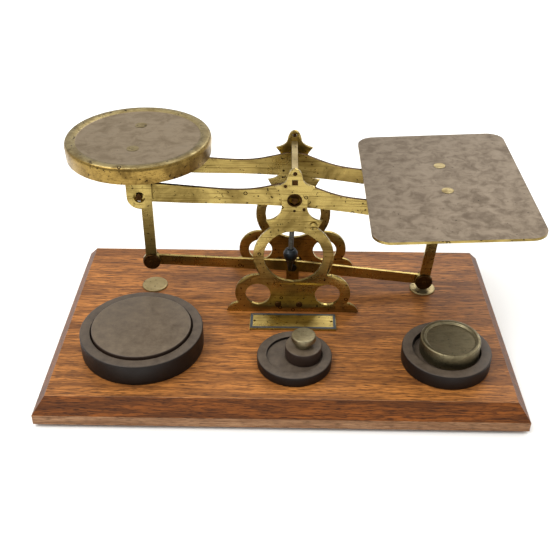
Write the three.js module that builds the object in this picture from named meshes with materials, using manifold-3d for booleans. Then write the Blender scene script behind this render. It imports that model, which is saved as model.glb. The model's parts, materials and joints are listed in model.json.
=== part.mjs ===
// Vintage letter scale: two fretted brass plates on an oak board carry an equal-armed beam with a round
// goods pan on one side and a flat letter plate on the other. A lower link (the stay) keeps both pans level.
// Millimetres, +Z up. The origin is the centre of the underside; +X runs from the round pan to the letter
// plate, and -Y faces the user. The scale rests with the letter plate down, as it does when nothing is on it.

import * as THREE from 'three';
import { mergeVertices } from 'three/addons/utils/BufferGeometryUtils.js';
import Module from 'manifold-3d';

const wasm = await Module();
wasm.setup();

// ---------------------------------------------------------------- driving sizes

const GAP = 0.15; // between two pieces that are fixed to each other
const RUN = 0.3; // between pieces that move on each other
const DEGREE = Math.PI / 180;

const board = { width: 240, depth: 144.5, lip: 5.4, bevelDrop: 7.9, bevelIn: 6 };
const felt = { thickness: 2, inset: 7, corner: 4 };
const BOARD_TOP = felt.thickness + board.lip + board.bevelDrop;

// The working parts stand in their own frame: x from the middle of the plates, y from the middle between
// them, z from the top of the board.
const works = { x: 5.6, y: 27.1 };

const plate = { thickness: 1.6, inner: 21.7 };
const PLATE_OUTER = plate.inner + plate.thickness;
const PLATE_PITCH = PLATE_OUTER + plate.inner; // from the front plate back to the rear plate
const ring = { z: 35.8, hole: 15.75, outer: 21.2 };
const lobe = { x: 19.2, z: 12.2, outer: 12, holeX: 18.8, holeZ: 11.6, hole: 6.85 };
const shoulder = { x: 14.3, z: 57.7, foot: 12, footZ: 53.2 };
const waist = { half: 6.5, top: 70.5, sweep: 7.9 };
const flare = { x: 10, z: 77.2 };
const FINIAL_TOP = 87.2;
const finialPin = { z: 84.6, radius: 1 };
const platePin = { radius: 0.8, places: [[-4.7, 77.6], [4.9, 64.4]] };
const FOOT_HALF = 36;

const KNIFE_Z = 67; // the centre knife edge
const KNIFE_DROP = 2.7; // from the middle of a bearing hole to the edge that works in it
const bearing = { hole: 2.95, outer: 3.7, proud: 0.4 };
const bar = { side: 3.2, tenon: 2.7, z: 79.7 };
const rivet = { shank: 1, head: 1.8, headHeight: 0.7, z: 5, x: [-7.9, 3.7] };
const bracket = { width: 22, height: 8.2, reach: 9, thickness: 1.4, screwX: 7.6, screwReach: 5.4 };
const screw = { shank: 1.1, head: 2.3, sink: 1.3, depth: 9 };
const shoulderScrew = { x: 10, z: 55, shank: 1.1, head: 2.1, headHeight: 1.2 };

const REST_TILT = 4.2 * DEGREE; // letter plate side down
const arm = { length: 79, drop: 1.6, thickness: 1.8, outer: 17.8, end: 5.4, endZ: -2.2 };
const ARM_INNER = arm.outer - arm.thickness;
const knife = { half: 1.5, edge: 1.5, depth: 3.9 };
const pointer = { y: -6.5, bend: -2.2 * DEGREE, rod: 1.35, collar: 4.2, collarHalf: 1.6, bobTop: 36.7, tip: 51.4 };

const yoke = { width: 13, thickness: 1.5, inner: 18.3, bend: 2, eye: 2.8, eyeHole: 3.05, toe: 3 };
const YOKE_OUTER = yoke.inner + yoke.thickness;
const LINK = 53.1; // from a knife edge down to the pivot below it
const leg = { width: 6, front: -2.1, thickness: 1.5, disc: 5, eye: 5.4, tenon: 3, pin: 1.25 };
const PAN_YOKE_HEIGHT = 20.7;
const LETTER_YOKE_HEIGHT = 10.3;
const LETTER_TILT = -2.8 * DEGREE; // the letter plate's carrier is bent up a little at its outer end
const LETTER_FOOT = -4.4; // its leg leans in towards the middle at the foot
const panRivet = { y: 14, shank: 1.6, head: 3.1, sink: 0.8 };

const pan = { radius: 37.5, height: 9.2, wall: 1, face: 31.2, recess: 1, offset: -1.4, rivetX: -2 };
const letterPlate = { width: 82.4, depth: 115, thickness: 1.4, corner: 9, x: -0.6, y: -4.6 };

const stay = { front: -0.1, thickness: 1.6, half: 3, crown: 1.2, eye: 4.6, endHole: 2 };
const STAY_Z = KNIFE_Z - LINK;
const post = { width: 7, thickness: 1.6, gap: 0.5, above: 4.5, reach: 9.5, screwY: 6.2 };
const stayPin = { radius: 1.25, head: 2.3, headHeight: 0.8 };
const legPin = { head: 4.8, headHeight: 1.2, boss: 1.2, rearHead: 4.3, rearGap: 0.5, rearHeight: 0.8 };

const stop = { radius: 7.2, height: 1.1, y: 0.6, spigot: 1.5, spigotDepth: 5 };
const nameplate = { width: 46.5, depth: 13.6, height: 1.3, bevel: 0.5, x: 0.3, y: -33.3, hole: 0.7 };

// Cups and weights, placed from the middle of the board.
const cups = {
  left: { x: -71.9, y: -26.9, radius: 31.4, height: 11.7, recess: 26.1, floor: 7.1 },
  middle: { x: 6.5, y: -39.2, radius: 18.9, height: 5.7, recess: 14, floor: 4.2 },
  right: { x: 83.2, y: -36, radius: 22.4, height: 8.1, recess: 17, floor: 4.9 },
};
const cupScrew = { shank: 1.4, head: 3.1, sink: 1.6, depth: 8 };
const weights = {
  four: { x: -71.9, y: -26.9, z: 7.1, radius: 25.5, height: 6.1, edge: 0.9 },
  two: { x: 84.7, y: -35.2, z: 4.9, radius: 15, height: 9.5, edge: 0.8, rim: 2.2, dish: 1.1 },
  half: { x: 10.9, y: -38.8, z: 4.2, radius: 9.2, height: 7.2, edge: 0.7 },
  quarter: { x: 10.9, y: -38.8, z: 11.4, radius: 6.1, height: 6.4, waist: 4.4, waistTop: 2.8 },
};

const ROUND = 40; // facets round a wide turned piece
const SMALL = 16; // facets round a pin, screw or rivet

// ---------------------------------------------------------------- materials

const finish = (color, roughness, metalness) => new THREE.MeshStandardMaterial({ color, roughness, metalness });
const oak = finish(0x8a5630, 0.55, 0);
const baize = finish(0x2b2a24, 0.95, 0);
const brass = finish(0xa88a48, 0.38, 1);
const dullBrass = finish(0x8d8468, 0.5, 1);
const steel = finish(0x3a3d40, 0.4, 1);
const ebonite = finish(0x2a211e, 0.45, 0);

// ---------------------------------------------------------------- solids

/** Turn a geometry into a manifold-3d solid, on its positions alone. */
function solid(geometry) {
  const bare = geometry.clone();
  for (const name of Object.keys(bare.attributes)) {
    if (name !== 'position') bare.deleteAttribute(name);
  }
  const merged = mergeVertices(bare, 1e-4);
  return new wasm.Manifold(
    new wasm.Mesh({
      numProp: 3,
      vertProperties: new Float32Array(merged.attributes.position.array),
      triVerts: new Uint32Array(merged.index.array),
    }),
  );
}

/** Turn a manifold-3d solid back into a geometry. */
function geometryOf(body) {
  const mesh = body.getMesh();
  const geometry = new THREE.BufferGeometry();
  geometry.setAttribute('position', new THREE.BufferAttribute(new Float32Array(mesh.vertProperties), 3));
  geometry.setIndex(new THREE.BufferAttribute(new Uint32Array(mesh.triVerts), 1));
  geometry.computeVertexNormals();
  return geometry;
}

/** Cut any number of tools out of a piece. */
function cut(geometry, tools) {
  let body = solid(geometry);
  for (const tool of tools) body = body.subtract(solid(tool));
  return geometryOf(body);
}

/** Join any number of overlapping pieces into one. */
function join(geometries) {
  let body = solid(geometries[0]);
  for (const other of geometries.slice(1)) body = body.add(solid(other));
  return geometryOf(body);
}

/** Keep only what two pieces share. */
function common(a, b) {
  return geometryOf(solid(a).intersect(solid(b)));
}

/** A sheet drawn in x and z, with its front face at y = front. */
function sheet(shape, thickness, front, curveSegments = 10) {
  const geometry = new THREE.ExtrudeGeometry(shape, { depth: thickness, bevelEnabled: false, curveSegments });
  geometry.rotateX(Math.PI / 2);
  geometry.translate(0, front + thickness, 0);
  return geometry;
}

/** A sheet drawn in x and y, with its underside at z = bottom. */
function flatSheet(shape, thickness, bottom, curveSegments = 6) {
  const geometry = new THREE.ExtrudeGeometry(shape, { depth: thickness, bevelEnabled: false, curveSegments });
  geometry.translate(0, 0, bottom);
  return geometry;
}

/** A section drawn in y and z, drawn out along x and centred on x = 0. */
function rail(shape, length, curveSegments = 4) {
  const geometry = new THREE.ExtrudeGeometry(shape, { depth: length, bevelEnabled: false, curveSegments });
  geometry.rotateX(Math.PI / 2);
  geometry.rotateZ(Math.PI / 2);
  geometry.translate(-length / 2, 0, 0);
  return geometry;
}

/** A piece turned about z from [radius, z] points. */
function turned(profile, segments = ROUND) {
  const geometry = new THREE.LatheGeometry(points(profile), segments);
  geometry.rotateX(Math.PI / 2);
  return geometry;
}

/** A piece turned about an axis along y from [radius, y] points. */
function turnedAcross(profile, segments = SMALL) {
  return new THREE.LatheGeometry(points(profile), segments);
}

/** A straight drill along z, from z = bottom to z = top. */
function drill(radius, bottom, top, x = 0, y = 0) {
  const tool = turned([[0, bottom], [radius, bottom], [radius, top], [0, top]], SMALL);
  tool.translate(x, y, 0);
  return tool;
}

/** A straight drill along y. */
function drillAcross(radius, from, to, x = 0, z = 0) {
  const tool = turnedAcross([[0, from], [radius, from], [radius, to], [0, to]]);
  tool.translate(x, 0, z);
  return tool;
}

/** Turn [x, y] pairs into points. */
function points(pairs) {
  return pairs.map(([x, y]) => new THREE.Vector2(x, y));
}

function polygon(pairs) {
  return new THREE.Shape(points(pairs));
}

function box(x0, x1, y0, y1, z0, z1) {
  const geometry = new THREE.BoxGeometry(x1 - x0, y1 - y0, z1 - z0);
  geometry.translate((x0 + x1) / 2, (y0 + y1) / 2, (z0 + z1) / 2);
  return geometry;
}

function roundedRectangle(width, depth, corner) {
  const x = width / 2;
  const y = depth / 2;
  const shape = new THREE.Shape();
  shape.absarc(x - corner, -y + corner, corner, -Math.PI / 2, 0);
  shape.absarc(x - corner, y - corner, corner, 0, Math.PI / 2);
  shape.absarc(-x + corner, y - corner, corner, Math.PI / 2, Math.PI);
  shape.absarc(-x + corner, -y + corner, corner, Math.PI, 1.5 * Math.PI);
  return shape;
}

function circle(x, y, radius) {
  return new THREE.Path().absarc(x, y, radius, 0, 2 * Math.PI);
}

/** Close a right-hand edge that runs from the bottom of x = 0 to the top of x = 0 with its mirror image. */
function mirrored(edge, divisions) {
  const right = edge.getPoints(divisions);
  const left = right.slice(1, -1).reverse().map((p) => new THREE.Vector2(-p.x, p.y));
  return new THREE.Shape([...right, ...left]);
}

/** Add a named piece to a group. */
function add(group, name, geometry, material, x = 0, y = 0, z = 0) {
  const mesh = new THREE.Mesh(geometry, material);
  mesh.name = name;
  mesh.position.set(x, y, z);
  group.add(mesh);
  return mesh;
}

/** Turn a point in the beam's own frame into the frame of the working parts, at rest. */
function tilted(x, z) {
  return new THREE.Vector3(x, 0, z).applyAxisAngle(new THREE.Vector3(0, 1, 0), REST_TILT);
}

// ---------------------------------------------------------------- the board and what is fixed to it

/** Where each wood screw and spigot enters the top of the board: x, y, radius and depth. */
function boardHoles() {
  const holes = [];
  for (const back of [0, PLATE_PITCH]) {
    for (const end of [-1, 1]) {
      const y = bracket.screwReach - plate.inner + back;
      holes.push([works.x + end * bracket.screwX, works.y + y, screw.shank, screw.depth]);
    }
  }
  for (const cup of Object.values(cups)) holes.push([cup.x, cup.y, cupScrew.shank, cupScrew.depth]);
  for (const x of stopPlaces()) holes.push([works.x + x, works.y + stop.y, stop.spigot, stop.spigotDepth]);
  holes.push([works.x, works.y + post.screwY, screw.shank, screw.depth]);
  return holes;
}

/** The stops stand under the pivots at the feet of the two legs. */
function stopPlaces() {
  return [tilted(-arm.length, 0).x, tilted(arm.length, 0).x + LETTER_FOOT];
}

function oakBoard() {
  const { lip, bevelDrop, bevelIn } = board;
  const section = (width) => {
    const half = width / 2;
    const top = lip + bevelDrop;
    const topHalf = half - bevelIn;
    return polygon([[-half, 0], [half, 0], [half, lip], [topHalf, top], [-topHalf, top], [-half, lip]]);
  };
  const across = sheet(section(board.width), board.depth, -board.depth / 2);
  const along = rail(section(board.depth), board.width);
  const blank = common(across, along);
  blank.translate(0, 0, felt.thickness);
  const tools = boardHoles().map(([x, y, radius, depth]) => {
    return drill(radius + GAP, BOARD_TOP - depth - GAP, BOARD_TOP + 1, x, y);
  });
  return cut(blank, tools);
}

/** A countersunk wood screw with the top of its head at z = 0. */
function woodScrew({ shank, head, sink, depth }) {
  return turned([[0, -depth], [shank, -depth], [shank, -sink], [head, -0.2], [head, 0], [0, 0]], SMALL);
}

/** The countersink that such a screw sits in, through a sheet whose top is at z = 0. */
function screwSeat({ shank, head, sink }, below) {
  const bore = shank + GAP;
  const mouth = head + GAP;
  const profile = [[0, -below], [bore, -below], [bore, -sink - GAP], [mouth, -0.2], [mouth, 1], [0, 1]];
  return turned(profile, SMALL);
}

function weightCup({ radius, height, recess, floor }) {
  const soft = 0.9;
  const profile = [
    [0, 0], [radius - 0.3, 0], [radius, 0.4], [radius, height - soft], [radius - 0.3, height - 0.3],
    [radius - soft, height], [recess + 0.3, height], [recess, height - 0.3], [recess, floor], [0, floor],
  ];
  const seat = screwSeat(cupScrew, floor + 1);
  seat.translate(0, 0, floor);
  return cut(turned(profile), [seat]);
}

function buildStand(scale) {
  const foot = roundedRectangle(board.width - 2 * felt.inset, board.depth - 2 * felt.inset, felt.corner);
  add(scale, 'felt_pad', flatSheet(foot, felt.thickness, 0), baize);
  add(scale, 'base_board', oakBoard(), oak);
  for (const [side, cup] of Object.entries(cups)) {
    add(scale, `weight_cup_${side}`, weightCup(cup), ebonite, cup.x, cup.y, BOARD_TOP);
    const length = { ...cupScrew, depth: cup.floor + cupScrew.depth - GAP };
    add(scale, `cup_screw_${side}`, woodScrew(length), steel, cup.x, cup.y, BOARD_TOP + cup.floor);
  }
}

// ---------------------------------------------------------------- the fretted plates

/** Half of a plate's outline: foot, side lobe, ring, shoulder, waist, flare and finial, from the bottom up. */
function plateEdge() {
  const notch = { x: 29.5, z: 6 };
  const meet = { lobe: 97.3 * DEGREE, ring: -33.5 * DEGREE };
  const edge = new THREE.Path();
  edge.moveTo(0, 0);
  edge.lineTo(FOOT_HALF - 0.4, 0);
  edge.lineTo(FOOT_HALF, 0.7);
  edge.quadraticCurveTo(FOOT_HALF - 2, 5.4, notch.x, notch.z);
  edge.absarc(lobe.x, lobe.z, lobe.outer, Math.atan2(notch.z - lobe.z, notch.x - lobe.x), meet.lobe);
  edge.absarc(0, ring.z, ring.outer, meet.ring, Math.atan2(shoulder.footZ - ring.z, shoulder.foot));
  edge.lineTo(shoulder.x, shoulder.z);
  edge.absarc(waist.half + waist.sweep, shoulder.z + waist.sweep, waist.sweep, -Math.PI / 2, -Math.PI, true);
  edge.lineTo(waist.half, waist.top);
  edge.quadraticCurveTo(waist.half + 0.4, flare.z - 3.4, flare.x, flare.z);
  edge.quadraticCurveTo(5.2, flare.z + 1, 4, 81);
  edge.quadraticCurveTo(3.2, FINIAL_TOP - 0.2, 0, FINIAL_TOP);
  return edge;
}

function frettedPlate(front, hasShoulderScrew) {
  const outline = mirrored(plateEdge(), 7);
  outline.holes.push(circle(0, ring.z, ring.hole));
  for (const side of [-1, 1]) outline.holes.push(circle(side * lobe.holeX, lobe.holeZ, lobe.hole));
  const blank = sheet(outline, plate.thickness, front, 12);
  const from = front - 1;
  const to = front + plate.thickness + 1;
  const half = bar.tenon / 2 + GAP;
  const tools = [
    drillAcross(bearing.outer + GAP, from, to, 0, KNIFE_Z + KNIFE_DROP),
    box(-half, half, from, to, bar.z - half, bar.z + half),
    drillAcross(finialPin.radius + GAP, from, to, 0, finialPin.z),
    ...rivet.x.map((x) => drillAcross(rivet.shank + GAP, from, to, x, rivet.z)),
  ];
  if (hasShoulderScrew) {
    for (const [x, z] of platePin.places) tools.push(drillAcross(platePin.radius + GAP, from, to, x, z));
    tools.push(drillAcross(shoulderScrew.shank + GAP, from, to, shoulderScrew.x, shoulderScrew.z));
  }
  return cut(blank, tools);
}

/** The angle strip behind the front plate's foot. */
function footBracket() {
  const face = -plate.inner;
  const { width, height, reach, thickness } = bracket;
  const section = [[0, 0], [reach, 0], [reach, thickness], [thickness, thickness], [thickness, height], [0, height]];
  const blank = rail(polygon(section.map(([y, z]) => [face + y, z])), width);
  const tools = rivet.x.map((x) => drillAcross(rivet.shank + GAP, face - 4, face + 4, x, rivet.z));
  for (const end of [-1, 1]) {
    const seat = screwSeat(screw, thickness + 1);
    seat.translate(end * bracket.screwX, face + bracket.screwReach, thickness);
    tools.push(seat);
  }
  return cut(blank, tools);
}

/** A rivet through the front plate and its bracket, domed on the plate's front face. */
function footRivet() {
  const { shank, head, headHeight } = rivet;
  const seat = -PLATE_OUTER - GAP;
  const end = bracket.thickness - plate.inner;
  const top = seat - headHeight;
  const dome = [[0, top], [head * 0.4, top], [head * 0.8, seat - headHeight * 0.35], [head, seat]];
  return turnedAcross([...dome, [shank, seat], [shank, end], [0, end]]);
}

/** A plain pin through the front plate, flush with both its faces. */
function plainPin(radius) {
  return turnedAcross([[0, -PLATE_OUTER], [radius, -PLATE_OUTER], [radius, -plate.inner], [0, -plate.inner]]);
}

/** A bearing ring, let into a plate round the centre knife. */
function hubBearing(side) {
  const from = plate.inner - bearing.proud;
  const to = PLATE_OUTER + bearing.proud;
  const { hole, outer } = bearing;
  const profile = [[hole, from], [outer, from], [outer, to - 0.3], [outer - 0.25, to], [hole, to], [hole, from]];
  const geometry = turnedAcross(profile, 32);
  if (side < 0) geometry.rotateZ(Math.PI);
  return geometry;
}

/** The square bar that ties the tops of the plates together, with a tenon through each. */
function topSpacerBar() {
  const half = bar.side / 2;
  const tenon = bar.tenon / 2;
  const shoulderY = plate.inner - GAP;
  const end = PLATE_OUTER + 0.3;
  const body = box(-half, half, -shoulderY, shoulderY, -half, half);
  return join([body, box(-tenon, tenon, -end, end, -tenon, tenon)]);
}

/** The slotted screw in the front plate's right shoulder. */
function slottedScrew() {
  const { shank, head, headHeight } = shoulderScrew;
  const seat = -PLATE_OUTER - GAP;
  const top = seat - headHeight;
  const profile = [
    [0, -plate.inner + 2], [shank, -plate.inner + 2], [shank, seat], [head, seat], [head, top + 0.4],
    [head - 0.4, top], [0, top],
  ].reverse();
  const slot = box(-head - 1, head + 1, top - 1, top + 0.6, -0.3, 0.3);
  return cut(turnedAcross(profile), [slot]);
}

/** The strip behind the stay that carries its centre pivot, with a foot screwed to the board. */
function stayPost() {
  const front = stay.front + stay.thickness + post.gap;
  const back = front + post.thickness;
  const top = STAY_Z + post.above;
  const section = [[front, 0], [front + post.reach, 0], [front + post.reach, post.thickness]];
  section.push([back, post.thickness], [back, top], [front, top]);
  const seat = screwSeat(screw, post.thickness + 1);
  seat.translate(0, post.screwY, post.thickness);
  const tools = [seat, drillAcross(stayPin.radius + GAP, front - 1, back + 1, 0, STAY_Z)];
  return cut(rail(polygon(section), post.width), tools);
}

/** The pin fixed in the stay post, with a head in front of the stay. */
function stayPivotPin() {
  const { radius, head, headHeight } = stayPin;
  const seat = stay.front - RUN;
  const back = stay.front + stay.thickness + post.gap + post.thickness + 0.6;
  const front = seat - headHeight;
  return turnedAcross([[0, front], [head, front], [head, seat], [radius, seat], [radius, back], [0, back]]);
}

/** A turned brass stop with a spigot let into the board. */
function legStop() {
  const { radius, height, spigot, spigotDepth } = stop;
  const profile = [[0, -spigotDepth], [spigot, -spigotDepth], [spigot, 0], [radius, 0], [radius, height * 0.5]];
  profile.push([radius - 0.6, height], [0, height]);
  return turned(profile, 36);
}

function makersPlate() {
  const { width, depth, height, bevel, hole } = nameplate;
  const step = roundedRectangle(width, depth, 0.8);
  const top = roundedRectangle(width - 2 * bevel, depth - 2 * bevel, 0.6);
  const blank = join([flatSheet(step, height - bevel, 0), flatSheet(top, height / 2, height / 2)]);
  const tools = [-1, 1].map((end) => drill(hole, -1, height + 1, end * (width / 2 - 2.6)));
  return cut(blank, tools);
}

function buildUprights(frame) {
  const ends = { front: [-1, 0], rear: [1, PLATE_PITCH] };
  for (const [end, [side, back]] of Object.entries(ends)) {
    add(frame, `frame_plate_${end}`, frettedPlate(back - PLATE_OUTER, side < 0), brass);
    add(frame, `hub_bearing_${end}`, hubBearing(side), steel, 0, 0, KNIFE_Z + KNIFE_DROP);
    add(frame, `finial_pin_${end}`, plainPin(finialPin.radius), steel, 0, back, finialPin.z);
    add(frame, `foot_bracket_${end}`, footBracket(), brass, 0, back, 0);
    rivet.x.forEach((x, i) => {
      add(frame, `foot_rivet_${end}_${i + 1}`, footRivet(), steel, x, back, rivet.z);
      const screwX = (i === 0 ? -1 : 1) * bracket.screwX;
      const screwY = bracket.screwReach - plate.inner + back;
      add(frame, `foot_screw_${end}_${i + 1}`, woodScrew(screw), steel, screwX, screwY, bracket.thickness);
    });
  }
  platePin.places.forEach(([x, z], i) => {
    add(frame, `plate_pin_${i + 1}`, plainPin(platePin.radius), steel, x, 0, z);
  });
  add(frame, 'top_spacer_bar', topSpacerBar(), brass, 0, 0, bar.z);
  add(frame, 'shoulder_screw', slottedScrew(), brass, shoulderScrew.x, 0, shoulderScrew.z);
  add(frame, 'stay_post', stayPost(), brass);
  add(frame, 'stay_post_screw', woodScrew(screw), steel, 0, post.screwY, post.thickness);
  add(frame, 'stay_pivot_pin', stayPivotPin(), steel, 0, 0, STAY_Z);
  add(frame, 'nameplate', makersPlate(), brass, nameplate.x, nameplate.y, 0);
  const [left, right] = stopPlaces();
  add(frame, 'stop_left', legStop(), brass, left, stop.y, 0);
  add(frame, 'stop_right', legStop(), brass, right, stop.y, 0);
}

// ---------------------------------------------------------------- the beam

/** A knife's section with its edge at 0,0. The edge points down where way is -1 and up where it is 1. */
function knifeSection(way, grow = 0) {
  const { half, edge, depth } = knife;
  const w = half + grow;
  const tip = grow * Math.SQRT2;
  const section = [[0, tip], [w, -edge], [w, -depth - grow], [-w, -depth - grow], [-w, -edge]];
  return polygon(section.map(([x, z]) => [x, way * z]));
}

/** A length of knife from y = from to y = to. */
function knifeBar(way, from, to, grow = 0) {
  return sheet(knifeSection(way, grow), to - from, from);
}

function beamEdge() {
  const edge = new THREE.Path();
  edge.moveTo(0, -3.9);
  edge.splineThru(points([[22, -4.5], [38, -5.5], [54, -6.6], [arm.length, arm.endZ - arm.end]]));
  edge.absarc(arm.length, arm.endZ, arm.end, -Math.PI / 2, Math.PI / 2);
  edge.splineThru(points([[68, 3.1], [53, 2.9], [38, 2.8], [27, 3.4], [19, 4.8], [10, 7.5], [5, 9.2], [0, 9.8]]));
  return edge;
}

function beamPlate(side) {
  const front = side < 0 ? -arm.outer : ARM_INNER;
  const from = front - 1;
  const to = front + arm.thickness + 1;
  const tools = [knifeBar(-1, from, to, GAP)];
  for (const end of [-1, 1]) {
    const knifeHole = knifeBar(1, from, to, GAP);
    knifeHole.translate(end * arm.length, 0, -arm.drop);
    tools.push(knifeHole);
  }
  return cut(sheet(mirrored(beamEdge(), 7), arm.thickness, front), tools);
}

/** The pointer's rod, with a collar that sits on the centre knife. */
function pointerRod() {
  const { y, rod, collar, collarHalf, bobTop } = pointer;
  const ringY = [y - collarHalf, y + collarHalf];
  const hub = drillAcross(collar, ringY[0], ringY[1], 0, KNIFE_DROP);
  const stem = drill(rod, -bobTop - 3, 0, 0, y);
  stem.rotateY(pointer.bend);
  return cut(join([hub, stem]), [knifeBar(-1, y - 3, y + 3, GAP)]);
}

/** The bob: a knob over a tapered point, bored to take the end of the rod. */
function gravityBob() {
  const { rod, bobTop, tip } = pointer;
  const top = -bobTop;
  const profile = [
    [0, -tip], [0.5, -tip], [1, -tip + 0.6], [2.1, top - 7.4], [2.6, top - 7.2], [3.6, top - 5.6], [4.05, top - 3.6],
    [3.7, top - 1.6], [2.6, top - 0.2], [1.9, top], [rod + GAP, top], [rod + GAP, top - 3 - GAP], [0, top - 3 - GAP],
  ];
  return turned(profile, 24);
}

function buildBeam(frame) {
  const beam = new THREE.Group();
  beam.position.z = KNIFE_Z;
  beam.rotation.y = REST_TILT;
  frame.add(beam);
  const reach = PLATE_OUTER - 0.1;
  add(beam, 'beam_plate_front', beamPlate(-1), brass);
  add(beam, 'beam_plate_rear', beamPlate(1), brass);
  add(beam, 'centre_knife', knifeBar(-1, -reach, reach), steel);
  const outside = YOKE_OUTER + 0.9;
  for (const [name, end] of Object.entries({ left: -1, right: 1 })) {
    add(beam, `end_knife_${name}`, knifeBar(1, -outside, outside), steel, end * arm.length, 0, -arm.drop);
  }
  add(beam, 'pointer_rod', pointerRod(), steel);
  const bob = add(beam, 'gravity_bob', gravityBob(), steel, 0, pointer.y, 0);
  bob.rotation.y = pointer.bend;
}

// ---------------------------------------------------------------- the two pan supports

/** The bent strip that hangs on the end knives, with its top face at z = height above the knife edge. */
function knifeYoke(height, rivetX) {
  const { width, thickness, inner, bend, eye, eyeHole, toe } = yoke;
  const toeEnd = -toe - width / 2;
  const outerSection = new THREE.Shape();
  outerSection.moveTo(-YOKE_OUTER, toeEnd);
  outerSection.lineTo(YOKE_OUTER, toeEnd);
  outerSection.absarc(YOKE_OUTER - bend, height - bend, bend, 0, Math.PI / 2);
  outerSection.absarc(-YOKE_OUTER + bend, height - bend, bend, Math.PI / 2, Math.PI);
  const hollow = box(-width, width, -inner, inner, toeEnd - 1, height - thickness);
  const silhouette = new THREE.Shape();
  silhouette.moveTo(width / 2, height + 1);
  silhouette.lineTo(-width / 2, height + 1);
  silhouette.absarc(0, -toe, width / 2, Math.PI, 2 * Math.PI);
  const strap = common(rail(outerSection, width), sheet(silhouette, 2 * YOKE_OUTER + 2, -YOKE_OUTER - 1));
  const tools = [hollow, drillAcross(eyeHole, -YOKE_OUTER - 1, YOKE_OUTER + 1, 0, -eye)];
  for (const side of [-1, 1]) {
    tools.push(drill(panRivet.shank + GAP, height - 3, height + 1, rivetX, side * panRivet.y));
  }
  const half = leg.tenon / 2 + GAP;
  tools.push(box(-half, half, leg.front - GAP, leg.front + leg.thickness + GAP, height - 3, height + 1));
  return cut(strap, tools);
}

/** A flat leg from under the yoke to the lower pivot at footX, footZ, with an eye round the end knife on the way. */
function supportLeg(height, footX, footZ) {
  const top = height - yoke.thickness - GAP;
  const half = leg.width / 2;
  const strip = polygon([[footX - half, footZ], [footX + half, footZ], [half, 0], [half, top], [-half, top], [-half, 0]]);
  const tenon = leg.tenon / 2;
  const body = join([
    sheet(strip, leg.thickness, leg.front),
    box(-tenon, tenon, leg.front, leg.front + leg.thickness, top - 1, height - 0.2),
    drillAcross(leg.disc, leg.front, leg.front + leg.thickness, footX, footZ),
    drillAcross(leg.eye, leg.front, leg.front + leg.thickness, 0, -yoke.eye),
  ]);
  const from = leg.front - 1;
  const to = leg.front + leg.thickness + 1;
  return cut(body, [
    drillAcross(leg.pin + GAP, from, to, footX, footZ),
    drillAcross(yoke.eyeHole, from, to, 0, -yoke.eye),
  ]);
}

/** The pin in a leg's foot, which the stay's end turns on; a head behind the stay keeps it there. */
function legPivotPin() {
  const front = leg.front - GAP;
  const back = stay.front + stay.thickness + legPin.rearGap;
  const { head, headHeight, boss, rearHead, rearHeight } = legPin;
  const face = front - headHeight;
  return turnedAcross([
    [0, face - 0.4], [boss, face - 0.4], [boss, face], [head - 0.4, face], [head, front - headHeight * 0.5], [head, front],
    [leg.pin, front], [leg.pin, back], [rearHead, back], [rearHead, back + rearHeight], [0, back + rearHeight],
  ]);
}

/** A rivet filed flush with the face it holds, which is at z = 0. */
function flushRivet(depth) {
  const { shank, head, sink } = panRivet;
  return turned([[0, -depth], [shank, -depth], [shank, -sink], [head, 0], [0, 0]], SMALL);
}

/** The countersunk seats for a pan's two rivets, in a face at z = face, either side of x, y. */
function rivetSeats(x, y, face) {
  const shank = panRivet.shank + GAP;
  const head = panRivet.head + GAP;
  const sink = panRivet.sink + GAP;
  return [-1, 1].map((side) => {
    const seat = turned([[0, -3], [shank, -3], [shank, -sink], [head, 0], [head, 1], [0, 1]], SMALL);
    seat.translate(x, y + side * panRivet.y, face);
    return seat;
  });
}

/** The round pan: a shallow inverted cap with a raised rim. Its face is at z = 0, with the rim just above. */
function roundPan() {
  const { radius, height, wall, face, recess } = pan;
  const skirt = recess - height;
  const profile = [
    [0, -wall], [radius - wall - 0.9, -wall], [radius - wall, -wall - 0.9], [radius - wall - 0.3, skirt],
    [radius - 0.3, skirt], [radius, -0.8], [radius - 0.5, 0.3], [radius - 1.5, recess], [radius - 3.2, recess],
    [face + 0.5, 0.4], [face, 0], [0, 0],
  ];
  return cut(turned(profile, 56), rivetSeats(pan.rivetX - pan.offset, 0, 0));
}

function flatLetterPlate() {
  const { width, depth, thickness, corner, x, y } = letterPlate;
  const blank = flatSheet(roundedRectangle(width, depth, corner), thickness, 0, 8);
  return cut(blank, rivetSeats(-x, -y, thickness));
}

/** A support hung on one pair of end knives: yoke, leg, leg pin and two rivets. */
function buildSupport(frame, name, end, height, tilt, footOffset, panThickness, rivetX) {
  const edge = tilted(end * arm.length, -arm.drop);
  const support = new THREE.Group();
  support.position.set(edge.x, 0, KNIFE_Z + edge.z);
  support.rotation.y = tilt;
  frame.add(support);
  const foot = new THREE.Vector3(footOffset, 0, -LINK).applyAxisAngle(new THREE.Vector3(0, 1, 0), -tilt);
  add(support, `yoke_${name}`, knifeYoke(height, rivetX), brass);
  add(support, `leg_${name}`, supportLeg(height, foot.x, foot.z), brass);
  add(support, `leg_pin_${name}`, legPivotPin(), steel, foot.x, 0, foot.z);
  for (const [place, side] of Object.entries({ front: -1, rear: 1 })) {
    const depth = panThickness + yoke.thickness;
    const z = height + panThickness;
    add(support, `pan_rivet_${name}_${place}`, flushRivet(depth), brass, rivetX, side * panRivet.y, z);
  }
  return support;
}

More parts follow.
